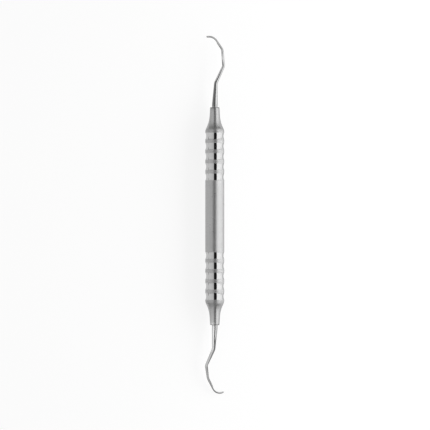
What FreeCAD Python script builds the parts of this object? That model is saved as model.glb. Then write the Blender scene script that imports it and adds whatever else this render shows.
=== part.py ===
import FreeCAD, Part
import math
import os

import Sketcher
from FreeCAD import Placement, Rotation, Vector

# A double-ended periodontal curette, lying on a surface with its long axis along Y. It has rolled
# until the lower blade's toe touches the surface, and the upper blade, its mirror image, stands up.
# The origin is on the surface, under the middle of the handle. +Y runs along the handle to the
# upper working end, +X is the side that end's shank bows to, and +Z is up.

doc = FreeCAD.newDocument("curette")
sheet = doc.addObject("Spreadsheet::Sheet", "Sizes")

SIZES = {
    # The handle tube, turned from one stainless tube
    "handle_diameter": 9.5,
    "tube_wall": 1.15,
    "tube_end_chamfer": 0.45,
    "satin_length": 35.7,
    # The polished grip grooves towards each end of the tube, with matte ridges between them
    "groove_count": 5,
    "groove_width": 3.6,
    "groove_depth": 0.42,
    "ridge_length": 1.5,
    "end_ridge_length": 2.0,
    # The collars, turned plugs that close the tube and hold the tangs
    "collar_length": 10.6,
    "collar_seam_step": 0.4,
    "collar_mouth_diameter": 4.7,
    "collar_mouth_chamfer": 0.2,
    "collar_cone_length": 4.2,
    "collar_cone_angle": 3.2,
    "collar_end_wall": 2.0,
    "spigot_length": 8.0,
    "spigot_lead_in": 0.5,
    "press_clearance": 0.01,
    # The working ends, each a tang, a tapered bent shank and a blade in one piece
    "socket_depth": 3.0,
    "tang_shoulder": 0.3,
    "tang_tip_chamfer": 0.4,
    "tang_tip_gap": 0.5,
    "shank_diameter": 2.8,
    "first_bend_diameter": 1.75,
    "second_bend_diameter": 1.4,
    "third_bend_diameter": 1.2,
    "heel_diameter": 1.05,
    "toe_diameter": 0.95,
    "mouth_bend_height": 1.2,
    "mouth_bend_radius": 20.0,
    "first_bend_radius": 4.5,
    "second_bend_radius": 2.6,
    "second_bend_lift": 0.8,
    "third_bend_lift": 2.1,
    "blade_rise": 0.35,
    "toe_clearance": 0.02,
    "face_depth": 0.33,
    "face_offset_angle": 20.0,
    "face_run_out_angle": 30.0,
}

# Each end's own bends. A height is measured from the collar's mouth along the handle, and an out
# sideways from the handle's axis. The lifts above are square to both: they rise from the axis at
# the upper end and fall from it at the lower one.
END_SIZES = {
    "upper": {
        "first_bend_height": 12.15,
        "first_bend_out": 0.5,
        "second_bend_height": 20.55,
        "second_bend_out": 4.43,
        "third_bend_height": 28.85,
        "third_bend_out": 3.78,
        "third_bend_radius": 3.0,
        "heel_height": 35.15,
        "heel_out": -0.49,
        "heel_radius": 4.5,
        "toe_height": 35.15,
        "toe_out": -3.73,
    },
    "lower": {
        "first_bend_height": 11.95,
        "first_bend_out": 0.53,
        "second_bend_height": 20.25,
        "second_bend_out": 4.22,
        "third_bend_height": 26.75,
        "third_bend_out": 3.39,
        "third_bend_radius": 6.0,
        "heel_height": 34.75,
        "heel_out": -0.7,
        "heel_radius": 3.7,
        "toe_height": 33.6,
        "toe_out": -4.1,
    },
}

for end_name, end_sizes in END_SIZES.items():
    for size_name, value in end_sizes.items():
        SIZES[end_name + "_" + size_name] = value

for row, (alias, value) in enumerate(SIZES.items(), start=1):
    sheet.set("A%d" % row, alias)
    sheet.set("B%d" % row, str(value))
    sheet.setAlias("B%d" % row, alias)
doc.recompute()

# The points of a sketch's edge, and the sketch's own axes
START, END, CENTRE = 1, 2, 3
ORIGIN = (-1, START)
HORIZONTAL, VERTICAL = -1, -2


def size(alias):
    return float(sheet.get(alias))


def evaluate(expression):
    return float(sheet.evalExpression(expression.replace("Sizes.", "")))


def new_body(label, place):
    body = doc.addObject("PartDesign::Body", label)
    body.Label = label
    body.Placement = place
    return body


def origin_part(body, role):
    return next(item for item in body.Origin.OriginFeatures if item.Role == role)


def new_sketch(body, name, offset=Placement()):
    sketch = body.newObject("Sketcher::SketchObject", name)
    sketch.AttachmentSupport = [(origin_part(body, "XY_Plane"), "")]
    sketch.MapMode = "FlatFace"
    sketch.AttachmentOffset = offset
    sketch.Visibility = False
    return sketch


def dimension(sketch, name, expression, kind, *where):
    """Add a dimension with a name and bind it to the sheet."""
    index = sketch.addConstraint(Sketcher.Constraint(kind, *where))
    sketch.renameConstraint(index, name)
    sketch.setExpression("Constraints." + name, expression)


def pin(sketch, name, edge, end, x, y):
    """Hold one end of an edge at two distances from the sketch's origin. A distance of "0" puts
    it on the axis."""
    point = sketch.getPoint(edge, end)
    if x == "0":
        sketch.addConstraint(Sketcher.Constraint("PointOnObject", edge, end, VERTICAL))
    else:
        dimension(sketch, name + "_x", x, "DistanceX", *ORIGIN, edge, end, point.x)
    if y == "0":
        sketch.addConstraint(Sketcher.Constraint("PointOnObject", edge, end, HORIZONTAL))
    else:
        dimension(sketch, name + "_y", y, "DistanceY", *ORIGIN, edge, end, point.y)


def draw_outline(sketch, corners, arc_edges=None, smooth_corners=()):
    """Draw a closed outline. Each corner is (name, x, y), in sheet expressions. arc_edges gives
    the centre of each edge, by its number, that is an arc and not a line. The edges that meet at
    a smooth corner share their direction there."""
    arc_edges = arc_edges or {}
    points = [Vector(evaluate(x), evaluate(y), 0) for _, x, y in corners]
    ends = []
    for number, start in enumerate(points):
        finish = points[(number + 1) % len(points)]
        if number in arc_edges:
            centre = arc_edges[number]
            bulge = ((start + finish) / 2 - centre).normalize() * start.distanceToPoint(centre)
            sketch.addGeometry(Part.Arc(start, centre + bulge, finish))
        else:
            sketch.addGeometry(Part.LineSegment(start, finish))
        start_gap, end_gap = (sketch.getPoint(number, end).distanceToPoint(start) for end in (START, END))
        ends.append((START, END) if start_gap < end_gap else (END, START))
    for number, (name, x, y) in enumerate(corners):
        before = number - 1 if number else len(corners) - 1
        meeting = "Tangent" if name in smooth_corners else "Coincident"
        first_end, last_end = ends[number][0], ends[before][1]
        sketch.addConstraint(Sketcher.Constraint(meeting, before, last_end, number, first_end))
        pin(sketch, name, number, first_end, x, y)


def revolve(body, sketch, kind, name):
    feature = body.newObject("PartDesign::" + kind, name)
    feature.Profile = sketch
    feature.ReferenceAxis = (origin_part(body, "Y_Axis"), [""])
    feature.Angle = 360.0
    return feature


# The handle tube, drawn about its own middle
HANDLE_RADIUS = "Sizes.handle_diameter / 2"
BORE_RADIUS = "(Sizes.handle_diameter / 2 - Sizes.tube_wall)"
GROOVE_PITCH = "(Sizes.groove_width + Sizes.ridge_length)"
GROOVE_ROW = "(Sizes.groove_count * %s - Sizes.ridge_length)" % GROOVE_PITCH
HALF_TUBE = "(Sizes.satin_length / 2 + %s + Sizes.end_ridge_length)" % GROOVE_ROW
axis_height = evaluate(HANDLE_RADIUS)

tube = new_body("handle_tube", Placement(Vector(0, 0, axis_height), Rotation()))
tube_section = new_sketch(tube, "tube_section")
draw_outline(tube_section, [
    ("lower_bore", BORE_RADIUS, "-" + HALF_TUBE),
    ("lower_rim", HANDLE_RADIUS + " - Sizes.tube_end_chamfer", "-" + HALF_TUBE),
    ("lower_side", HANDLE_RADIUS, "Sizes.tube_end_chamfer - " + HALF_TUBE),
    ("upper_side", HANDLE_RADIUS, HALF_TUBE + " - Sizes.tube_end_chamfer"),
    ("upper_rim", HANDLE_RADIUS + " - Sizes.tube_end_chamfer", HALF_TUBE),
    ("upper_bore", BORE_RADIUS, HALF_TUBE),
])
revolve(tube, tube_section, "Revolution", "turned_tube")
doc.recompute()

# Its grip grooves, each a shallow hollow turned by a round-nosed tool. The first groove of a row
# lies beside the satin middle, and the rest follow it towards the tube's end.
TOOL_RADIUS = "(Sizes.groove_width ^ 2 / 4 + Sizes.groove_depth ^ 2) / (2 * Sizes.groove_depth)"
CLEAR_OF_TUBE = HANDLE_RADIUS + " + Sizes.groove_depth"
for side, sign in (("upper", 1), ("lower", -1)):
    first = "(Sizes.satin_length + Sizes.groove_width) / 2 * %d" % sign
    groove_section = new_sketch(tube, side + "_groove_section")
    tool_out = evaluate(HANDLE_RADIUS + " - Sizes.groove_depth + " + TOOL_RADIUS)
    draw_outline(groove_section, [
        ("start", HANDLE_RADIUS, first + " - Sizes.groove_width / 2"),
        ("start_clear", CLEAR_OF_TUBE, first + " - Sizes.groove_width / 2"),
        ("end_clear", CLEAR_OF_TUBE, first + " + Sizes.groove_width / 2"),
        ("end", HANDLE_RADIUS, first + " + Sizes.groove_width / 2"),
    ], {3: Vector(tool_out, evaluate(first), 0)})
    dimension(groove_section, "tool_radius", TOOL_RADIUS, "Radius", 3, evaluate(TOOL_RADIUS))
    groove = revolve(tube, groove_section, "Groove", side + "_first_groove")
    doc.recompute()
    row = tube.newObject("PartDesign::LinearPattern", side + "_grooves")
    row.Originals = [groove]
    row.Direction = (origin_part(tube, "Y_Axis"), [""])
    row.Reversed = sign < 0
    row.setExpression("Length", GROOVE_PITCH + " * (Sizes.groove_count - 1)")
    row.setExpression("Occurrences", "Sizes.groove_count")
    tube.Tip = row
    doc.recompute()

# A collar, drawn from the inner end of its spigot outwards. The tang's bore is blind, with a
# wider socket at the mouth for the shank. The flare runs out of the mouth's slow cone in one arc
# and ends at the seam, a step inside the tube's side.
WHOLE_COLLAR = "Sizes.spigot_length + Sizes.collar_length"
SEAM_RADIUS = HANDLE_RADIUS + " - Sizes.collar_seam_step"
MOUTH_RADIUS = "Sizes.collar_mouth_diameter / 2"
SPIGOT_RADIUS = BORE_RADIUS + " - Sizes.press_clearance"
SOCKET_RADIUS = "Sizes.shank_diameter / 2 + Sizes.press_clearance"
TANG_RADIUS = "Sizes.shank_diameter / 2 - Sizes.tang_shoulder"
TANG_BORE_RADIUS = TANG_RADIUS + " + Sizes.press_clearance"
CONE_TOP = WHOLE_COLLAR + " - Sizes.collar_cone_length"
CONE_TOP_RADIUS = MOUTH_RADIUS + " + Sizes.collar_cone_length * tan(Sizes.collar_cone_angle * 1 deg)"
SOCKET_FLOOR = WHOLE_COLLAR + " - Sizes.socket_depth"


def flare_centre():
    """The centre of the arc that leaves the cone along its side and ends at the seam's rim."""
    cone_top = Vector(evaluate(CONE_TOP_RADIUS), evaluate(CONE_TOP), 0)
    seam = Vector(evaluate(SEAM_RADIUS), evaluate("Sizes.spigot_length"), 0)
    slope = math.radians(size("collar_cone_angle"))
    outward = Vector(math.cos(slope), math.sin(slope), 0)
    across = seam - cone_top
    return cone_top + outward * (across.dot(across) / (2 * across.dot(outward)))


def collar(label, place):
    body = new_body(label, place)
    section = new_sketch(body, label + "_section")
    draw_outline(section, [
        ("inner_face", "0", "0"),
        ("lead_in_start", SPIGOT_RADIUS + " - Sizes.spigot_lead_in", "0"),
        ("lead_in_end", SPIGOT_RADIUS, "Sizes.spigot_lead_in"),
        ("shoulder", SPIGOT_RADIUS, "Sizes.spigot_length"),
        ("seam", SEAM_RADIUS, "Sizes.spigot_length"),
        ("cone_top", CONE_TOP_RADIUS, CONE_TOP),
        ("mouth_side", MOUTH_RADIUS, WHOLE_COLLAR + " - Sizes.collar_mouth_chamfer"),
        ("mouth_edge", MOUTH_RADIUS + " - Sizes.collar_mouth_chamfer", WHOLE_COLLAR),
        ("mouth", SOCKET_RADIUS, WHOLE_COLLAR),
        ("socket_floor", SOCKET_RADIUS, SOCKET_FLOOR),
        ("bore_top", TANG_BORE_RADIUS, SOCKET_FLOOR),
        ("bore_floor", TANG_BORE_RADIUS, "Sizes.collar_end_wall"),
        ("bore_middle", "0", "Sizes.collar_end_wall"),
    ], {4: flare_centre()}, ["cone_top"])
    revolve(body, section, "Revolution", label + "_turning")
    return body


# What belongs to the lower end is turned end for end, so that it faces along -Y.
TURNED = {1: Rotation(), -1: Rotation(Vector(0, 0, 1), 180)}


def on_axis(sign, distance):
    return Placement(Vector(0, sign * distance, axis_height), TURNED[sign])


collar_start = evaluate(HALF_TUBE + " - Sizes.spigot_length")
upper_collar = collar("upper_collar", on_axis(1, collar_start))
lower_collar = collar("lower_collar", on_axis(-1, collar_start))
doc.recompute()

# A working end, drawn from the centre of its collar's mouth. Its line is straight runs and the
# arcs between them: out of the collar, over the bow of the shank, and round the blade's hook.
# Each run tapers between the thicknesses of its two bends.
UPRIGHT = Vector(0, 0, 1)
BENDS = ["mouth_bend", "first_bend", "second_bend", "third_bend", "heel"]
THICKNESSES = {
    "mouth_bend": "Sizes.shank_diameter",
    "first_bend": "Sizes.first_bend_diameter",
    "second_bend": "Sizes.second_bend_diameter",
    "third_bend": "Sizes.third_bend_diameter",
    "heel": "Sizes.heel_diameter",
    "toe": "Sizes.toe_diameter",
}
TANG_TIP = "Sizes.collar_end_wall + Sizes.tang_tip_gap - " + WHOLE_COLLAR.replace("+", "-")


def radius_of(end, bend_name):
    """The sheet's name for a bend's radius, the end's own where it has one."""
    own = "%s_%s_radius" % (end, bend_name)
    return "Sizes." + (own if own in SIZES else bend_name + "_radius")


def line_corners(end, sign):
    """The corners of the line. The lower toe is just clear of the surface that the handle is on."""
    toe_lift = evaluate("(Sizes.handle_diameter - Sizes.toe_diameter) / 2 - Sizes.toe_clearance")
    lifts = {
        "first_bend": 0,
        "second_bend": size("second_bend_lift"),
        "third_bend": size("third_bend_lift"),
        "heel": toe_lift - size("blade_rise"),
        "toe": toe_lift,
    }
    corners = [Vector(0, 0, 0), Vector(0, size("mouth_bend_height"), 0)]
    for name, lift in lifts.items():
        place = "%s_%s" % (end, name)
        corners.append(Vector(size(place + "_out"), size(place + "_height"), sign * lift))
    return corners


def bent_line(corners, radii):
    """Straight runs from corner to corner, with an arc of its own radius at each inner corner."""
    edges = []
    start = corners[0]
    for before, corner, after, radius in zip(corners, corners[1:], corners[2:], radii):
        back = (before - corner).normalize()
        ahead = (after - corner).normalize()
        half_turn = (math.pi - back.getAngle(ahead)) / 2
        arc_start = corner + back * (radius * math.tan(half_turn))
        arc_end = corner + ahead * (radius * math.tan(half_turn))
        inward = (back + ahead).normalize()
        arc_middle = corner + inward * (radius / math.cos(half_turn) - radius)
        edges.append(Part.LineSegment(start, arc_start).toShape())
        edges.append(Part.Arc(arc_start, arc_middle, arc_end).toShape())
        start = arc_end
    edges.append(Part.LineSegment(start, corners[-1]).toShape())
    return edges


def point_and_direction(edge, parameter):
    return edge.valueAt(parameter), edge.tangentAt(parameter)


def frame_at(point, x_axis, z_axis):
    """A sketch plane through a point, from its x axis and the direction it faces."""
    x_axis = (x_axis - z_axis * x_axis.dot(z_axis)).normalize()
    y_axis = z_axis.cross(x_axis)
    return Placement(FreeCAD.Matrix(x_axis.x, y_axis.x, z_axis.x, point.x,
                                    x_axis.y, y_axis.y, z_axis.y, point.y,
                                    x_axis.z, y_axis.z, z_axis.z, point.z))


def ring(body, name, thickness, point, along):
    """A round section across the line."""
    sketch = new_sketch(body, name, frame_at(point, UPRIGHT, along))
    sketch.addGeometry(Part.Circle(Vector(0, 0, 0), Vector(0, 0, 1), evaluate(thickness) / 2))
    sketch.addConstraint(Sketcher.Constraint("Coincident", 0, CENTRE, *ORIGIN))
    dimension(sketch, "thickness", thickness, "Diameter", 0, evaluate(thickness))
    return sketch


def taper(body, name, first_ring, last_ring):
    run = body.newObject("PartDesign::AdditiveLoft", name)
    run.Profile = first_ring
    run.Sections = [last_ring]


def bend(body, name, section, arc, radius):
    """Swing a ring about the bend's own axis, a construction line in the ring's plane."""
    plane = section.AttachmentOffset
    centre = plane.inverse().multVec(arc.Curve.Center)
    inward = Vector(centre).normalize()
    beyond = centre + Vector(-inward.y, inward.x, 0)
    section.addGeometry(Part.LineSegment(centre, beyond), True)
    centre_x = "%s * %.6f" % (radius, inward.x)
    centre_y = "%s * %.6f" % (radius, inward.y)
    pin(section, "axis_start", 1, START, centre_x, centre_y)
    pin(section, "axis_end", 1, END, "%s - %.6f" % (centre_x, inward.y), "%s + %.6f" % (centre_y, inward.x))
    swing = body.newObject("PartDesign::Revolution", name)
    swing.Profile = section
    swing.ReferenceAxis = (section, ["Axis0"])
    swing.Angle = math.degrees(arc.Length / arc.Curve.Radius)


def round_toe(body, end, point, along):
    """Round the toe like a ball, by a quarter disc swung about the line."""
    across = (UPRIGHT - along * UPRIGHT.dot(along)).normalize()
    quarter = new_sketch(body, end + "_toe_quarter", frame_at(point, along, along.cross(across)))
    draw_outline(quarter, [
        ("middle", "0", "0"),
        ("tip", "Sizes.toe_diameter / 2", "0"),
        ("rim", "0", "Sizes.toe_diameter / 2"),
    ], {1: Vector(0, 0, 0)})
    quarter.addConstraint(Sketcher.Constraint("PointOnObject", 1, CENTRE, HORIZONTAL))
    dome = body.newObject("PartDesign::Revolution", end + "_toe")
    dome.Profile = quarter
    dome.ReferenceAxis = (quarter, ["H_Axis"])
    dome.Angle = 360.0


def grind_face(body, end, sign, hook, last_run):
    """Grind the blade's flat face along the inside of its hook, which leaves a half-moon section
    with two cutting edges. The wheel leans, so that one cutting edge is lower than the other: the
    upper end's face turns a little down, and the lower end's a little up."""
    wheel_radius = "(%s - Sizes.heel_diameter / 2 + Sizes.face_depth)" % radius_of(end, "heel")
    wheel_clearance = "Sizes.toe_diameter * 2"
    centre = hook.Curve.Center
    hook_end, along = point_and_direction(hook, hook.LastParameter)
    outward = (hook_end - centre).normalize()
    lean = Rotation(along, -sign * size("face_offset_angle"))
    hinge = centre + outward * evaluate(wheel_radius)
    leant_centre = hinge + lean.multVec(centre - hinge)
    leant_facing = lean.multVec(along.cross(outward))
    ground = new_sketch(body, end + "_face_section", frame_at(leant_centre, along, leant_facing))
    turn = math.degrees(hook.Length / hook.Curve.Radius) + size("face_run_out_angle")
    run_out_x = "-%s * sin(%.6f deg)" % (wheel_radius, turn)
    run_out_y = "%s * cos(%.6f deg)" % (wheel_radius, turn)
    past_toe = "%.6f + Sizes.toe_diameter" % last_run.Length
    draw_outline(ground, [
        ("run_out", run_out_x, run_out_y),
        ("hook_end", "0", wheel_radius),
        ("past_toe", past_toe, wheel_radius),
        ("past_toe_clear", past_toe, wheel_radius + " - " + wheel_clearance),
    ], {0: Vector(0, 0, 0)})
    ground.addConstraint(Sketcher.Constraint("PointOnObject", 0, CENTRE, VERTICAL))
    face = body.newObject("PartDesign::Pocket", end + "_face")
    face.Profile = ground
    face.Midplane = True
    face.setExpression("Length", wheel_clearance + " * 2")


def working_end(end, sign):
    body = new_body(end + "_working_end", on_axis(sign, evaluate(HALF_TUBE + " + Sizes.collar_length")))
    radii = [evaluate(radius_of(end, name)) for name in BENDS]
    edges = bent_line(line_corners(end, sign), radii)
    tang_section = new_sketch(body, end + "_tang_section")
    draw_outline(tang_section, [
        ("mouth_middle", "0", "0"),
        ("tang_middle", "0", TANG_TIP),
        ("tang_tip", TANG_RADIUS + " - Sizes.tang_tip_chamfer", TANG_TIP),
        ("tang_side", TANG_RADIUS, TANG_TIP + " + Sizes.tang_tip_chamfer"),
        ("tang_root", TANG_RADIUS, "-Sizes.socket_depth"),
        ("shank_step", "Sizes.shank_diameter / 2", "-Sizes.socket_depth"),
        ("shank_side", "Sizes.shank_diameter / 2", "0"),
    ])
    revolve(body, tang_section, "Revolution", end + "_tang")
    run_start = ring(body, end + "_mouth_ring", THICKNESSES["mouth_bend"], Vector(0, 0, 0), Vector(0, 1, 0))
    for name, arc in zip(BENDS, edges[1::2]):
        entry = ring(body, "%s_%s_entry" % (end, name), THICKNESSES[name],
                     *point_and_direction(arc, arc.FirstParameter))
        taper(body, "%s_run_to_%s" % (end, name), run_start, entry)
        bend(body, "%s_%s" % (end, name), entry, arc, radius_of(end, name))
        run_start = ring(body, "%s_%s_exit" % (end, name), THICKNESSES[name],
                         *point_and_direction(arc, arc.LastParameter))
    hook, last_run = edges[-2:]
    toe_point, toe_direction = point_and_direction(last_run, last_run.LastParameter)
    toe_ring = ring(body, end + "_toe_ring", THICKNESSES["toe"], toe_point, toe_direction)
    taper(body, end + "_run_to_toe", run_start, toe_ring)
    round_toe(body, end, toe_point, toe_direction)
    grind_face(body, end, sign, hook, last_run)
    return body


bodies = [tube, upper_collar, lower_collar, working_end("upper", 1), working_end("lower", -1)]
doc.recompute()

for item in doc.Objects:
    if "Invalid" in item.State or "Error" in item.State:
        raise RuntimeError("%s failed: %s" % (item.Name, item.getStatusString()))
for body in bodies:
    if body.Shape.isNull() or not body.Shape.isValid() or len(body.Shape.Solids) != 1:
        raise RuntimeError("%s isn't one sound solid" % body.Label)

os.makedirs("parts", exist_ok=True)
for body in bodies:
    body.Shape.exportStep("parts/%s.step" % body.Label)
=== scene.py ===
import math

import bmesh
import bpy
from mathutils import Matrix, Vector


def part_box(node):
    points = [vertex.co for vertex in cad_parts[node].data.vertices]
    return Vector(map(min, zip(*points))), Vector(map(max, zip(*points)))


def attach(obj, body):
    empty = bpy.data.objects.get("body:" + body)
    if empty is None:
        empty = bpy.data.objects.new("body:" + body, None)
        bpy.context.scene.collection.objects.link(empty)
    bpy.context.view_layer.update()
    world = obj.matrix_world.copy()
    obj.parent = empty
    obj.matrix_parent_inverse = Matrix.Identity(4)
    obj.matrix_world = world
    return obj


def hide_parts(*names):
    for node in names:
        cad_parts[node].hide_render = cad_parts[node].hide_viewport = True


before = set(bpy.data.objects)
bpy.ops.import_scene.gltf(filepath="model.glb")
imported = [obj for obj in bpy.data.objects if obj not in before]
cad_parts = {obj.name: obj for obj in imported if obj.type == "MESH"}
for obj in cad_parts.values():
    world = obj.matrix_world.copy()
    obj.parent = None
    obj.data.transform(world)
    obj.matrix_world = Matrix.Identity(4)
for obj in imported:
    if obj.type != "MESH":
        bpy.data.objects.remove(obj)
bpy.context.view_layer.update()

MM = 0.001
tube_low, tube_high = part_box("handle_tube")
axis_height = (tube_low.z + tube_high.z) / 2

# The view: the curette lies on the floor with its long axis up the picture, and a long lens looks
# straight down on it from high above.
PICTURE_WIDTH = 215 * MM
PICTURE_CENTRE = (0.125 * MM, 0.6 * MM)
camera_data = bpy.data.cameras.new("camera")
camera_data.lens = 600
camera_data.sensor_width = 36
camera_data.clip_end = 10
camera = bpy.data.objects.new("camera", camera_data)
camera_rise = PICTURE_WIDTH * camera_data.lens / camera_data.sensor_width
camera.location = (*PICTURE_CENTRE, axis_height + camera_rise)
bpy.context.collection.objects.link(camera)
bpy.context.scene.camera = camera
bpy.context.scene.view_settings.view_transform = "Standard"


# The studio: a pale floor, and over it a light tent shaped like half a tunnel, which runs along
# the curette. Its left wall is grey and its right wall white, and a black strip along its top is
# what the polished steel mirrors as a dark line. The lens looks through it.
class Wire:
    """One output of a node in a material's tree. Sums on wires add Math nodes."""

    def __init__(self, tree, socket=None):
        self.tree = tree
        self.socket = socket

    def node(self, kind, settings=None, inputs=None, output=0):
        """Add a node. Its settings come first, then the values or wires of its sockets."""
        made = self.tree.nodes.new(kind)
        for name, value in (settings or {}).items():
            if name == "stops":
                self.set_stops(made.color_ramp, value)
            else:
                setattr(made, name, value)
        for name, value in (inputs or {}).items():
            if isinstance(value, Wire):
                self.tree.links.new(value.socket, made.inputs[name])
            else:
                made.inputs[name].default_value = value
        return Wire(self.tree, made.outputs[output] if made.outputs else None)

    @staticmethod
    def set_stops(ramp, stops):
        while len(ramp.elements) < len(stops):
            ramp.elements.new(1)
        for element, (position, grey) in zip(ramp.elements, stops):
            element.position = position
            element.color = (grey, grey, grey, 1)

    def math(self, operation, *values):
        return self.node("ShaderNodeMath", {"operation": operation}, dict(enumerate(values)))

    def __add__(self, other):
        return self.math("ADD", self, other)

    __radd__ = __add__

    def __sub__(self, other):
        return self.math("SUBTRACT", self, other)

    def __rsub__(self, other):
        return self.math("SUBTRACT", other, self)

    def __mul__(self, other):
        return self.math("MULTIPLY", self, other)

    __rmul__ = __mul__

    def __truediv__(self, other):
        return self.math("DIVIDE", self, other)

    def __abs__(self):
        return self.math("ABSOLUTE", self)

    def step(self, low, high):
        """0 below low, 1 above high, and smooth between them."""
        return self.node("ShaderNodeMapRange", {"interpolation_type": "SMOOTHSTEP"},
                         {"Value": self, "From Min": low, "From Max": high})

    def greys(self, stops):
        """The grey for this wire's value, from stops of (value, grey) with straight runs between."""
        first, last = stops[0][0], stops[-1][0]
        places = [((value - first) / (last - first), grey) for value, grey in stops]
        share = (self - first) / (last - first)
        return self.node("ShaderNodeValToRGB", {"stops": places}, {"Fac": share})


def new_material(name):
    material = bpy.data.materials.new(name)
    material.use_nodes = True
    material.node_tree.nodes.clear()
    return material, Wire(material.node_tree)


def place_parts(start):
    """The point on the surface, and its three coordinates, with the height from the axis."""
    point = start.node("ShaderNodeTexCoord", output="Object")
    along_x = point.node("ShaderNodeSeparateXYZ", inputs={0: point}, output="X")
    along_y = point.node("ShaderNodeSeparateXYZ", inputs={0: point}, output="Y")
    height = point.node("ShaderNodeSeparateXYZ", inputs={0: point}, output="Z") - axis_height
    return point, along_x, along_y, height


def add_object(name, mesh, material):
    made = bpy.data.objects.new(name, mesh)
    mesh.materials.append(material)
    bpy.context.collection.objects.link(made)
    return made


TENT_RADIUS = 0.5
TENT_HALF_LENGTH = 1.0
TENT_SIDES = 96
# Angle from straight up, to the right, in degrees, and the tent's brightness there
TENT_SHADES = [(-90, 0.62), (-60, 0.62), (-40, 0.58), (-13.5, 0.52), (-11, 0.01),
               (27.5, 0.01), (29, 1.0), (45, 1.03), (90, 1.03)]
# How far along the tent its light starts to fade and has faded, how much sooner it does so at the
# sides, and what is left of it there
TENT_FADE = (0.41, 0.55)
SIDE_FADE_SOONER = 0.10
FADED_SHARES = [(-60, 0.24), (-15, 0.18), (30, 0.12), (90, 0.10)]
END_SHADE = 0.05

tent_cloth, start = new_material("tent_cloth")
point, along_x, along_y, height = place_parts(start)
turn = along_x.math("ARCTAN2", along_x, height) * (180 / math.pi)
faded = (abs(along_y) + SIDE_FADE_SOONER * abs(turn).step(30, 75)).step(*TENT_FADE)
fade = 1 - (1 - turn.greys(FADED_SHARES)) * faded
glow = start.node("ShaderNodeEmission", inputs={"Color": turn.greys(TENT_SHADES) * fade})
start.node("ShaderNodeOutputMaterial", inputs={"Surface": glow})

tent_end_cloth, start = new_material("tent_end_cloth")
glow = start.node("ShaderNodeEmission", inputs={"Color": (END_SHADE,) * 3 + (1,)})
start.node("ShaderNodeOutputMaterial", inputs={"Surface": glow})


def tunnel_rim(radius, first_angle, last_angle, x, y):
    """Points of an arc over the handle's axis, from angles to the right of straight up."""
    spread = last_angle - first_angle
    turns = [first_angle + spread * side / TENT_SIDES for side in range(TENT_SIDES + 1)]
    return [Vector((x + radius * math.sin(angle), y, axis_height + radius * math.cos(angle)))
            for angle in map(math.radians, turns)]


def mesh_of(name, points, faces):
    mesh = bpy.data.meshes.new(name)
    mesh.from_pydata(points, [], faces)
    mesh.update()
    return mesh


def tunnel(name, near_rim, far_rim, cloth):
    """A sheet of cloth from one rim to the other. The lens doesn't see it."""
    count = len(near_rim)
    faces = [(side, side + 1, count + side + 1, count + side) for side in range(count - 1)]
    sheet = add_object(name, mesh_of(name, near_rim + far_rim, faces), cloth)
    sheet.visible_camera = False
    return sheet


near_rim = tunnel_rim(TENT_RADIUS, -90, 90, 0, -TENT_HALF_LENGTH)
far_rim = tunnel_rim(TENT_RADIUS, -90, 90, 0, TENT_HALF_LENGTH)
tunnel("tent", near_rim, far_rim, tent_cloth)
for name, y in (("near_tent_end", -TENT_HALF_LENGTH), ("far_tent_end", TENT_HALF_LENGTH)):
    rim, hub = tunnel_rim(TENT_RADIUS, -90, 90, 0, y), tunnel_rim(0, -90, 90, 0, y)
    tunnel(name, rim, hub, tent_end_cloth)

# Small cards over the two ends, out of the lens's sight, for the polished steel to mirror. Each is
# part of a pipe: its radius, first and last angle, ends along Y, and brightness.
CARDS = {
    "upper_shank_dark_card": (10 * MM, -100, -9, 54.8 * MM, 66 * MM, 0.22),
    "upper_shank_pale_card": (10 * MM, 30, 90, 56.5 * MM, 66 * MM, 1.25),
    "upper_run_dark_card": (16 * MM, -100, -12, 66 * MM, 73.5 * MM, 0.22),
    "upper_run_pale_card": (14 * MM, 32, 100, 66 * MM, 82 * MM, 1.2),
    "second_bend_card": (16 * MM, -100, 40, 73.5 * MM, 76.5 * MM, 1.1),
    "upper_bar_dark_card": (16 * MM, -100, -14, 76.5 * MM, 81.5 * MM, 0.25),
    "third_bend_card": (16 * MM, -100, 40, 81.5 * MM, 84.5 * MM, 1.1),
    "upper_toe_card": (16 * MM, -100, 100, 84.5 * MM, 110 * MM, 0.65),
    "lower_shank_pale_card": (10 * MM, -88, -9, -66 * MM, -54.8 * MM, 1.25),
    "lower_run_pale_card": (16 * MM, -88, 20, -82 * MM, -66 * MM, 0.85),
    "lower_run_dark_card": (15 * MM, 24, 110, -82 * MM, -63.5 * MM, 0.22),
    "lower_toe_card": (16 * MM, -88, 60, -96 * MM, -82 * MM, 0.6),
}
for name, (radius, first_angle, last_angle, first_y, last_y, brightness) in CARDS.items():
    card, start = new_material(name)
    glow = start.node("ShaderNodeEmission", inputs={"Color": (brightness,) * 3 + (1,)})
    start.node("ShaderNodeOutputMaterial", inputs={"Surface": glow})
    rims = [tunnel_rim(radius, first_angle, last_angle, 0, y) for y in (first_y, last_y)]
    sheet = tunnel(name, *rims, card)
    sheet.visible_diffuse = False
    sheet.visible_shadow = False

# A long soft lamp low on the right, which lights the satin and isn't mirrored in the polished steel
LAMP_WIDTH = 0.25
LAMP_LENGTH = 1.0
LAMP_DISTANCE = 0.42
LAMP_ANGLE = math.radians(68)
LAMP_WATTS = 2.8
lamp_data = bpy.data.lights.new("side_lamp", "AREA")
lamp_data.shape = "RECTANGLE"
lamp_data.size = LAMP_WIDTH
lamp_data.size_y = LAMP_LENGTH
lamp_data.energy = LAMP_WATTS
lamp = bpy.data.objects.new("side_lamp", lamp_data)
lamp.location = (LAMP_DISTANCE * math.sin(LAMP_ANGLE), 0, LAMP_DISTANCE * math.cos(LAMP_ANGLE))
lamp.rotation_euler = (0, LAMP_ANGLE, 0)
lamp.visible_glossy = False
bpy.context.collection.objects.link(lamp)

# The floor: a wide sheet of pale paper
FLOOR_HALF_WIDTH = 3.0
FLOOR_WHITE = 0.8
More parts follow.
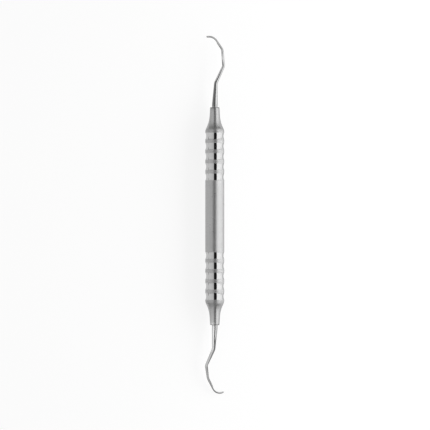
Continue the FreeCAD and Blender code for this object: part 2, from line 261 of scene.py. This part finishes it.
# To the lens the floor is part paper, which takes the shadow, part even white, and a glow on top
SHADOW_SHARE = 0.26
EVEN_WHITE = 0.84
FLOOR_GLOW = 0.22
# Its brightness as the steel mirrors it: millimetres to the right of the handle, and the grey
FLOOR_SHADES = [(-40, 0.62), (0, 0.62), (2, 0.35), (6, 0.38), (12, 0.62), (22, 0.85), (36, 1.0)]
# Beside the ends it loses most of that, from the first to the second place along Y and to a side
FLOOR_FADE = (0.046, 0.085)
FLOOR_SIDE_FADE = (0.010, 0.022)
FADE_LOSS = 0.85
# Right by the blades it is pale, from the first to the second place along Y
FLOOR_BY_BLADES = (0.080, 0.084)
BY_BLADES_SHADE = 0.95
floor_paper, start = new_material("floor_paper")
point, along_x, along_y, height = place_parts(start)
paper = start.node("ShaderNodeBsdfDiffuse", inputs={"Color": (FLOOR_WHITE,) * 3 + (1,)})
white = start.node("ShaderNodeEmission", inputs={"Color": (1, 1, 1, 1), "Strength": EVEN_WHITE})
lit = start.node("ShaderNodeMixShader", inputs={0: 1 - SHADOW_SHARE, 1: paper, 2: white})
glow = start.node("ShaderNodeEmission", inputs={"Color": (1, 1, 1, 1), "Strength": FLOOR_GLOW})
lit_white = start.node("ShaderNodeAddShader", inputs={0: lit, 1: glow})
fade = 1 - FADE_LOSS * abs(along_y).step(*FLOOR_FADE) * abs(along_x).step(*FLOOR_SIDE_FADE)
by_blades = abs(along_y).step(*FLOOR_BY_BLADES) * (1 - abs(along_x).step(*FLOOR_SIDE_FADE))
mirrored_grey = (along_x / MM).greys(FLOOR_SHADES) * fade
mirrored_grey = mirrored_grey * (1 - by_blades) + BY_BLADES_SHADE * by_blades
pale_glow = start.node("ShaderNodeEmission", inputs={"Color": mirrored_grey})
seen_by = start.node("ShaderNodeLightPath", output="Is Camera Ray")
mirrored_by = start.node("ShaderNodeLightPath", output="Is Glossy Ray")
other = start.node("ShaderNodeMixShader", inputs={0: mirrored_by, 1: paper, 2: pale_glow})
floor_look = start.node("ShaderNodeMixShader", inputs={0: seen_by, 1: other, 2: lit_white})
start.node("ShaderNodeOutputMaterial", inputs={"Surface": floor_look})
floor_paper.cycles.emission_sampling = "NONE"
floor_corners = [(FLOOR_HALF_WIDTH * x, FLOOR_HALF_WIDTH * y, 0)
                 for x, y in ((-1, -1), (1, -1), (1, 1), (-1, 1))]
floor_mesh = mesh_of("floor", floor_corners, [(0, 1, 2, 3)])
floor = add_object("floor", floor_mesh, floor_paper)

world = bpy.data.worlds.new("world")
world.use_nodes = True
world.node_tree.nodes["Background"].inputs["Color"].default_value = (1, 1, 1, 1)
bpy.context.scene.world = world


# The handle tube: one stainless tube, turned, blasted to a fine satin all over, and then polished
# bright in its ten grip grooves. The ridges between them keep the satin.
SATIN_LENGTH = 35.7 * MM
GROOVE_COUNT = 5
GROOVE_WIDTH = 3.6 * MM
GROOVE_DEPTH = 0.42 * MM
RIDGE_LENGTH = 1.5 * MM
TUBE_WALL = 1.15 * MM
CROWN_RADIUS = 4.4 * MM
CROWN_LENGTH = 1.9 * MM
EDGE_EASE = 0.25 * MM
ROW_STEP = 0.12 * MM
SIDES = 128

tube_radius = (tube_high.z - tube_low.z) / 2
tube_half = tube_high.y
tool_radius = (GROOVE_WIDTH ** 2 / 4 + GROOVE_DEPTH ** 2) / (2 * GROOVE_DEPTH)


def turned_radius(y):
    """The tube's radius as the lathe leaves it, with sharp edges beside the grooves."""
    number, place = divmod(abs(y) - SATIN_LENGTH / 2, GROOVE_WIDTH + RIDGE_LENGTH)
    if not 0 <= number < GROOVE_COUNT or place > GROOVE_WIDTH:
        return tube_radius
    off = place - GROOVE_WIDTH / 2
    return tube_radius - GROOVE_DEPTH + tool_radius - math.sqrt(tool_radius ** 2 - off ** 2)


def eased_radius(y):
    """The same with the edges rounded by blasting, an average over a short length."""
    samples = 12
    places = [y + EDGE_EASE * (2 * (number + 0.5) / samples - 1) for number in range(samples)]
    return sum(turned_radius(place) for place in places) / samples


def rounded_rim(radius, y, round_radius, length, outward, steps=10):
    """Points of an arc that leaves the side of a turned piece and ends at its end face."""
    angles = [math.asin(length / round_radius) * step / steps for step in range(steps + 1)]
    return [(radius - round_radius * (1 - math.cos(angle)),
             y + outward * (round_radius * math.sin(angle) - length)) for angle in angles]


def lathe(name, outline):
    """Spin a closed outline of (radius, place along Y) points about the handle's axis."""
    shape = bmesh.new()
    rings = []
    for radius, y in outline:
        ring = []
        for side in range(SIDES):
            angle = 2 * math.pi * side / SIDES
            across, rise = radius * math.cos(angle), radius * math.sin(angle)
            ring.append(shape.verts.new((across, y, axis_height + rise)))
        rings.append(ring)
    for ring, following in zip(rings, rings[1:] + rings[:1]):
        for side in range(SIDES):
            after = (side + 1) % SIDES
            shape.faces.new((ring[side], ring[after], following[after], following[side]))
    bmesh.ops.remove_doubles(shape, verts=shape.verts, dist=1e-8)
    bmesh.ops.dissolve_degenerate(shape, edges=shape.edges, dist=1e-8)
    return smooth_mesh(name, shape)


def smooth_mesh(name, shape, sharp_angle=35, sharp_edges=()):
    """A mesh that is smooth but for the edges sharper than an angle, and the ones given."""
    bmesh.ops.recalc_face_normals(shape, faces=shape.faces)
    for face in shape.faces:
        face.smooth = True
    for edge in shape.edges:
        edge.smooth = edge.calc_face_angle(0) < math.radians(sharp_angle)
    for corners in sharp_edges:
        shape.edges.get(corners).smooth = False
    mesh = bpy.data.meshes.new(name)
    shape.to_mesh(mesh)
    shape.free()
    return mesh


row_start = SATIN_LENGTH / 2 - 2 * EDGE_EASE
row_end = tube_half - CROWN_LENGTH
row_steps = round((row_end - row_start) / ROW_STEP)
row = [row_start + (row_end - row_start) * step / row_steps for step in range(row_steps)]
side_places = [-y for y in reversed(row)] + row
outer_side = [(eased_radius(y), y) for y in side_places]
lower_rim = rounded_rim(tube_radius, -tube_half, CROWN_RADIUS, CROWN_LENGTH, -1)
upper_rim = rounded_rim(tube_radius, tube_half, CROWN_RADIUS, CROWN_LENGTH, 1)
bore = tube_radius - TUBE_WALL
tube_outline = [(bore, -tube_half)] + lower_rim[::-1] + outer_side + upper_rim + [(bore, tube_half)]


# How far the satin's grain leans round the handle, as a slope
GRAIN_LEAN = 0.074
# Fine scratches from use: their slant to the handle, and the share of the satin that they reach
SCRATCHES = [(math.radians(12), 0.42), (math.radians(-38), 0.38), (math.radians(75), 0.40)]


def steel(name, masks_of, paleness):
    """Stainless steel, blasted to satin where the first mask is 1 and polished bright where it is 0.

    Where the second mask is 1, the satin's grain leans a little, round the handle to the right. The
    third mask is painted shade: how much darker the steel's colour is painted. Paleness is how far
    the satin scatters light as a matt surface does.
    """
    material, start = new_material(name)
    point, along_x, along_y, height = place_parts(start)
    satin, leaning, painted_shade = masks_of(along_x, along_y, height)
    grain = start.node("ShaderNodeTexNoise", inputs={"Vector": point, "Scale": 9000.0, "Detail": 3.0})
    patches = start.node("ShaderNodeTexNoise", inputs={"Vector": point, "Scale": 260.0, "Detail": 4.0})
    around = start.node(
        "ShaderNodeVectorMath", {"operation": "MULTIPLY"}, {0: point, 1: (150, 14000, 150)})
    turning = start.node("ShaderNodeTexNoise", inputs={"Vector": around, "Scale": 1.0, "Detail": 3.0})
    lengthwise = start.node(
        "ShaderNodeVectorMath", {"operation": "MULTIPLY"}, {0: point, 1: (2600, 45, 2600)})
    streaks = start.node("ShaderNodeTexNoise", inputs={
        "Vector": lengthwise, "Scale": 1.0, "Detail": 2.0})
    unrolled = along_x.math("ARCTAN2", along_x, height) * tube_radius
    scratches = 0.0
    for slant, scratched_share in SCRATCHES:
        across = unrolled * math.cos(slant) - along_y * math.sin(slant)
        lengthways = unrolled * math.sin(slant) + along_y * math.cos(slant)
        drawn_out = start.node("ShaderNodeCombineXYZ", inputs={
            0: across * 1500, 1: lengthways * 70, 2: slant * 9})
        rubs, worn = (
            start.node("ShaderNodeTexNoise", inputs={
                "Vector": drawn_out, "Scale": scale, "Detail": 0.0}) for scale in (1.0, 0.23))
        hairline = 1 - abs(rubs - 0.5).step(0.002, 0.011)
        scratches = scratches + hairline * worn.step(1 - scratched_share, 1.1 - scratched_share)
    satin_grey = (0.65 + 0.26 * (grain - 0.5) + 0.12 * (patches - 0.5) + 0.10 * (streaks - 0.5)
                  + 0.07 * scratches)
    polished_grey = 0.80 + 0.10 * (patches - 0.5) + 0.08 * (turning - 0.5)
    # The third mask darkens the colour: painted shade on the handle's end ridges and round the
    # collars' mouths.
    grey = (satin * satin_grey + (1 - satin) * polished_grey) * (1 - painted_shade)
    satin_rough = 0.34 + 0.10 * (patches - 0.5) + 0.10 * (grain - 0.5) - 0.10 * scratches
    polished_rough = 0.06 + 0.04 * (patches - 0.5) + 0.04 * (turning - 0.5)
    rough = satin * satin_rough + (1 - satin) * polished_rough
    relief = satin * (grain * 2.6 + turning * 0.8 - scratches * 0.3) + (1 - satin) * turning * 0.16
    bump = start.node("ShaderNodeBump", inputs={"Height": relief, "Strength": 0.35, "Distance": 4e-6})
    colour = start.node("ShaderNodeCombineColor", inputs={0: grey, 1: grey, 2: grey})
    round_handle = start.node(
        "ShaderNodeVectorMath", {"operation": "CROSS_PRODUCT"}, {0: (0, 1, 0), 1: bump})
    lean = GRAIN_LEAN * leaning
    leans = start.node("ShaderNodeCombineXYZ", inputs={0: lean, 1: lean, 2: lean})
    leant = start.node(
        "ShaderNodeVectorMath", {"operation": "MULTIPLY_ADD"}, {0: round_handle, 1: leans, 2: bump})
    shader = start.node("ShaderNodeBsdfPrincipled", inputs={
        "Base Color": colour, "Metallic": 1 - paleness * satin, "Roughness": rough,
        "Normal": start.node("ShaderNodeVectorMath", {"operation": "NORMALIZE"}, {0: leant})})
    start.node("ShaderNodeOutputMaterial", inputs={"Surface": shader})
    return material


HANDLE_PALENESS = 0.22
# How much darker the end ridges' colour is painted: painted shade.
END_RIDGE_PAINTED_SHADE = 0.13


def handle_masks(along_x, along_y, height):
    """The satin is all that stands at the tube's full radius, and its rims. It leans in the middle.

    The end ridges get painted shade, which makes their colour a little darker than the rest.
    """
    squares = along_x * along_x + height * height
    out = squares.math("SQRT", squares)
    full = ((out - tube_radius) / MM).step(-0.09, -0.05)
    crown_start = (tube_half - CROWN_LENGTH) / MM
    end_ridge = (abs(along_y) / MM).step(crown_start, crown_start + 0.2)
    middle = 1 - abs(along_y).step(SATIN_LENGTH / 2 - EDGE_EASE, SATIN_LENGTH / 2)
    # The third mask is painted shade on the end ridges.
    return full.math("MAXIMUM", full, end_ridge), middle, END_RIDGE_PAINTED_SHADE * end_ridge


handle_steel = steel("handle_steel", handle_masks, HANDLE_PALENESS)
handle = add_object("handle", lathe("handle", tube_outline), handle_steel)
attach(handle, "root")
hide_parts("handle_tube")


# The collars: two turned plugs pressed into the tube's ends, satin like the tube. Each flares from
# its narrow mouth to the seam like a trumpet, and holds a working end in its bore.
COLLAR_LENGTH = 10.6 * MM
SEAM_STEP = 0.4 * MM
MOUTH_RADIUS = 2.35 * MM
MOUTH_ROUND = 0.35 * MM
CONE_LENGTH = 4.2 * MM
CONE_ANGLE = math.radians(3.2)
END_WALL = 2.0 * MM
SPIGOT_LENGTH = 8.0 * MM
SPIGOT_LEAD_IN = 0.5 * MM
PRESS_CLEARANCE = 0.01 * MM
SOCKET_DEPTH = 3.0 * MM
SHANK_RADIUS = 1.4 * MM
TANG_RADIUS = 1.1 * MM
FLARE_STEPS = 40
COLLAR_PALENESS = 0.05
# How much darker the colour is painted in a thin line round each collar's mouth: painted shade.
MOUTH_PAINTED_SHADE = 0.45

mouth = tube_half + COLLAR_LENGTH
cone_top = Vector((MOUTH_RADIUS + CONE_LENGTH * math.tan(CONE_ANGLE), mouth - CONE_LENGTH))
seam = Vector((tube_radius - SEAM_STEP, tube_half))


def flare():
    """The arc that leaves the cone along its side and ends at the seam's rim."""
    outward = Vector((math.cos(CONE_ANGLE), math.sin(CONE_ANGLE)))
    across = seam - cone_top
    radius = across.dot(across) / (2 * across.dot(outward))
    centre = cone_top + outward * radius
    first = math.atan2(*(seam - centre).yx)
    last = math.atan2(*(cone_top - centre).yx)
    last += 2 * math.pi * round((first - last) / (2 * math.pi))
    angles = [first + (last - first) * step / FLARE_STEPS for step in range(FLARE_STEPS + 1)]
    return [(centre.x + radius * math.cos(angle), centre.y + radius * math.sin(angle))
            for angle in angles]


collar_outline = [
    (0, tube_half - SPIGOT_LENGTH),
    (bore - PRESS_CLEARANCE - SPIGOT_LEAD_IN, tube_half - SPIGOT_LENGTH),
    (bore - PRESS_CLEARANCE, tube_half - SPIGOT_LENGTH + SPIGOT_LEAD_IN),
    (bore - PRESS_CLEARANCE, tube_half),
    *flare(),
    *rounded_rim(MOUTH_RADIUS, mouth, MOUTH_ROUND, MOUTH_ROUND, 1),
    (SHANK_RADIUS + PRESS_CLEARANCE, mouth),
    (SHANK_RADIUS + PRESS_CLEARANCE, mouth - SOCKET_DEPTH),
    (TANG_RADIUS + PRESS_CLEARANCE, mouth - SOCKET_DEPTH),
    (TANG_RADIUS + PRESS_CLEARANCE, tube_half - SPIGOT_LENGTH + END_WALL),
    (0, tube_half - SPIGOT_LENGTH + END_WALL),
]


def collar_masks(along_x, along_y, height):
    """All satin, with a thin line of painted shade round the mouth, where the shank leaves the collar.
    """
    by_mouth = (abs(along_y) / MM).step(mouth / MM - 0.5, mouth / MM - 0.3)
    return 1.0, 0.0, MOUTH_PAINTED_SHADE * by_mouth


collar_steel = steel("collar_steel", collar_masks, COLLAR_PALENESS)
for name, end in (("upper_collar", 1), ("lower_collar", -1)):
    outline = [(radius, end * y) for radius, y in collar_outline]
    collar = add_object(name + "_turning", lathe(name + "_turning", outline), collar_steel)
    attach(collar, "root")
    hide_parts(name)


# The working ends: each is one bar, ground to a slim taper, bent in three planes and polished, with
# its tang brazed in the collar. The tip is hooked, and its flat face is ground at a slant along the
# inside of the hook, which leaves a half-moon blade with two edges.
BLADE_OFFSET = math.radians(20)
FACE_DEPTH = 0.33 * MM
FACE_RUN_OUT = math.radians(30)
HEEL_RADIUS = 0.525 * MM
TOE_RADIUS = 0.475 * MM
TOE_CLEARANCE = 0.02 * MM
TOE_LIFT = (tube_radius - TOE_RADIUS - TOE_CLEARANCE) / MM
HEEL_LIFT = TOE_LIFT - 0.35
TANG_LENGTH = 16.1 * MM
TANG_CHAMFER = 0.4 * MM
LINE_STEP = 0.15 * MM
BACK_SIDES = 36
FACE_SIDES = 12
SMALLEST_HALF_ANGLE = math.radians(2)
TOE_STEPS = 12
# Each bend of an end's line, in millimetres: how far along the handle from the collar's mouth, how
# far out sideways, how far up from the axis, the bar's thickness there, and the bend's radius.
ENDS = {
    "upper": [(0, 0, 0, 2.8, 0), (1.2, 0, 0, 2.8, 20), (12.15, 0.5, 0, 1.75, 4.5),
              (20.55, 4.43, 0.8, 1.4, 2.6), (28.85, 3.78, 2.1, 1.2, 3.0),
              (35.15, -0.49, HEEL_LIFT, 1.05, 4.5), (35.15, -3.73, TOE_LIFT, 0.95, 0)],
    "lower": [(0, 0, 0, 2.8, 0), (1.2, 0, 0, 2.8, 20), (11.95, 0.53, 0, 1.75, 4.5),
              (20.25, 4.22, 0.8, 1.4, 2.6), (26.75, 3.39, 2.1, 1.2, 6.0),
              (34.75, -0.7, HEEL_LIFT, 1.05, 3.7), (33.6, -4.1, TOE_LIFT, 0.95, 0)],
}


def sweep_line(bends, end):
    """Points along the bent bar, as (point, direction, radius), and the hook's arc."""
    corners = [Vector((end * out, end * (mouth / MM + along), end * lift)) * MM
               + Vector((0, 0, axis_height)) for along, out, lift, _, _ in bends]
    thicknesses = [thickness * MM / 2 for _, _, _, thickness, _ in bends]
    samples = []
    start, start_radius = corners[0], thicknesses[0]
    hook = None

    def add_run(first, last, first_radius, last_radius):
        run = last - first
        steps = max(2, round(run.length / LINE_STEP))
        for step in range(steps):
            share = step / steps
            radius = first_radius + (last_radius - first_radius) * share
            samples.append((first + run * share, run.normalized(), radius))

    for number in range(1, len(corners) - 1):
        corner, bend_radius = corners[number], bends[number][4] * MM
        back = (corners[number - 1] - corner).normalized()
        ahead = (corners[number + 1] - corner).normalized()
        half_turn = (math.pi - back.angle(ahead)) / 2
        reach = bend_radius * math.tan(half_turn)
        centre = corner + (back + ahead).normalized() * (bend_radius / math.cos(half_turn))
        arc_start = corner + back * reach
        add_run(start, arc_start, start_radius, thicknesses[number])
        axis = back.cross(ahead).normalized()
        turn = -2 * half_turn
        steps = max(4, math.ceil(2 * half_turn * bend_radius / LINE_STEP))
        for step in range(steps):
            swing = Matrix.Rotation(turn * step / steps, 3, axis)
            samples.append((centre + swing @ (arc_start - centre), swing @ -back, thicknesses[number]))
        start, start_radius = corner + ahead * reach, thicknesses[number]
        hook = (centre, start, ahead, bend_radius, 2 * half_turn)
    add_run(start, corners[-1], start_radius, thicknesses[-1])
    samples.append((corners[-1], (corners[-1] - start).normalized(), thicknesses[-1]))
    return samples, hook


class GrindingWheel:
    """The wheel that cuts a blade's face along the inside of its hook, and on straight to the toe."""

    def __init__(self, hook, end):
        centre, hook_end, self.along, bend_radius, turn = hook
        outward = (hook_end - centre).normalized()
        self.radius = bend_radius - HEEL_RADIUS + FACE_DEPTH
        lean = Matrix.Rotation(-end * BLADE_OFFSET, 3, self.along)
        self.outward = lean @ outward
        self.facing = lean @ self.along.cross(outward)
        self.centre = centre + (outward - self.outward) * self.radius
        self.last_angle = turn + FACE_RUN_OUT

    def place(self, point):
        """Where a point is from the wheel's middle: along the toe, outward, and along its axle."""
        from_centre = point - self.centre
        return from_centre.dot(self.along), from_centre.dot(self.outward), from_centre.dot(self.facing)

    def angle(self, a, b):
        """How far back round the hook a place is from where the hook ends."""
        return 0 if a >= 0 and b > 0 else math.atan2(-a, b) % (2 * math.pi)

    def depth(self, point):
        """How deep a point of the bar lies in the wheel. It is below 0 where the wheel misses it."""
        a, b, _ = self.place(point)
        if self.angle(a, b) > self.last_angle:
            return -1.0
        return self.radius - (b if a >= 0 else math.hypot(a, b))

    def inward(self, point):
        """The way from the bar's middle to the wheel's axle."""
        a, b, _ = self.place(point)
        angle = min(self.angle(a, b), self.last_angle)
        return self.along * math.sin(angle) - self.outward * math.cos(angle)

    def ground(self, point):
        """The point moved out onto the wheel's rim, if the wheel cuts it away."""
        if self.depth(point) <= 0:
            return point
        a, b, c = self.place(point)
        scale = 1 if a >= 0 else self.radius / math.hypot(a, b)
        b = self.radius if a >= 0 else b * scale
        return self.centre + self.along * a * scale + self.outward * b + self.facing * c


def face_edge(depth_at, inner, way):
    """The angle on a ring where the face ends on one side, found by halving."""
    if depth_at(inner) <= 0:
        return inner + way * SMALLEST_HALF_ANGLE
    inside, outside = 0.0, 0.6 * math.pi
    for _ in range(30):
        middle = (inside + outside) / 2
        if depth_at(inner + way * middle) > 0:
            inside = middle
        else:
            outside = middle
    return inner + way * max(inside, SMALLEST_HALF_ANGLE)


def working_end_mesh(name, bends, end):
    """One working end: rings along its tang and bent bar, round the toe, and cut by the wheel."""
    samples, hook = sweep_line(bends, end)
    wheel = GrindingWheel(hook, end)
    tip, along, tip_radius = samples[-1]
    for step in range(1, TOE_STEPS + 1):
        angle = math.pi / 2 * step / TOE_STEPS
        ring_radius = max(tip_radius * math.cos(angle), 1e-6)
        samples.append((tip + along * tip_radius * math.sin(angle), along, ring_radius))
    mouth_point, first_along, _ = samples[0]
    tang = [(TANG_LENGTH, TANG_RADIUS - TANG_CHAMFER), (TANG_LENGTH - TANG_CHAMFER, TANG_RADIUS),
            (SOCKET_DEPTH, TANG_RADIUS), (SOCKET_DEPTH, SHANK_RADIUS)]
    tang_samples = [(mouth_point - first_along * depth, first_along, radius) for depth, radius in tang]
    samples = tang_samples + samples
    shape = bmesh.new()
    uv_layer = shape.loops.layers.uv.new("lengthwise")
    rings = []
    travelled = [0.0]
    for before, after in zip(samples, samples[1:]):
        travelled.append(travelled[-1] + (after[0] - before[0]).length)
    for centre, direction, radius in samples:
        side = (Vector((0, 0, 1)) - direction * direction.z).normalized()
        other = direction.cross(side)

        def on_ring(angle):
            return centre + (side * math.cos(angle) + other * math.sin(angle)) * radius

        def depth_at(angle):
            return wheel.depth(on_ring(angle))

        inward = wheel.inward(centre)
        inner = math.atan2(inward.dot(other), inward.dot(side))
        first, last = (face_edge(depth_at, inner, way) for way in (-1, 1))
        back = 2 * math.pi - (last - first)
        angles = [last + (first - last) * step / FACE_SIDES for step in range(FACE_SIDES)]
        angles += [first - back * step / BACK_SIDES for step in range(BACK_SIDES + 1)]
        ring = [shape.verts.new(wheel.ground(on_ring(angle))) for angle in angles[:-1]]
        rings.append((ring, angles, depth_at(inner) > 0))
    count = FACE_SIDES + BACK_SIDES
    cutting_edges = []
    for number in range(len(rings) - 1):
        ring, angles, is_cut = rings[number]
        following, next_angles, next_is_cut = rings[number + 1]
        for side in range(count):
            after = (side + 1) % count
            face = shape.faces.new((ring[side], ring[after], following[after], following[side]))
            places = [(angles[side], number), (angles[side + 1], number),
                      (next_angles[side + 1], number + 1), (next_angles[side], number + 1)]
            for loop, (around, step) in zip(face.loops, places):
                loop[uv_layer].uv = (around / (2 * math.pi), travelled[step] / (10 * MM))
        if is_cut and next_is_cut:
            cutting_edges += [(ring[side], following[side]) for side in (0, FACE_SIDES)]
    shape.faces.new(rings[0][0][::-1])
    shape.faces.new(rings[-1][0])
    return smooth_mesh(name, shape, 50, cutting_edges)


def end_steel():
    """Stainless steel polished lengthwise, with the fine lines that the polishing belt leaves."""
    material, start = new_material("end_steel")
    point = start.node("ShaderNodeTexCoord", output="Object")
    flat = start.node("ShaderNodeUVMap", {"uv_map": "lengthwise"})
    stretched = start.node("ShaderNodeVectorMath", {"operation": "MULTIPLY"}, {0: flat, 1: (90, 3, 1)})
    lines = start.node("ShaderNodeTexNoise", inputs={"Vector": stretched, "Scale": 1.0, "Detail": 3.0})
    patches = start.node("ShaderNodeTexNoise", inputs={"Vector": point, "Scale": 500.0, "Detail": 3.0})
    grey = 0.62 + 0.06 * (patches - 0.5) + 0.08 * (lines - 0.5)
    rough = 0.2 + 0.10 * (patches - 0.5) + 0.06 * (lines - 0.5)
    bump = start.node("ShaderNodeBump", inputs={"Height": lines, "Strength": 0.3, "Distance": 3e-6})
    colour = start.node("ShaderNodeCombineColor", inputs={0: grey, 1: grey, 2: grey})
    shader = start.node("ShaderNodeBsdfPrincipled", inputs={
        "Base Color": colour, "Metallic": 1.0, "Roughness": rough, "Normal": bump})
    start.node("ShaderNodeOutputMaterial", inputs={"Surface": shader})
    return material


bright_steel = end_steel()
for name, end in (("upper", 1), ("lower", -1)):
    piece_name = name + "_blade_and_shank"
    blade = add_object(piece_name, working_end_mesh(piece_name, ENDS[name], end), bright_steel)
    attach(blade, "root")
    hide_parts(name + "_working_end")
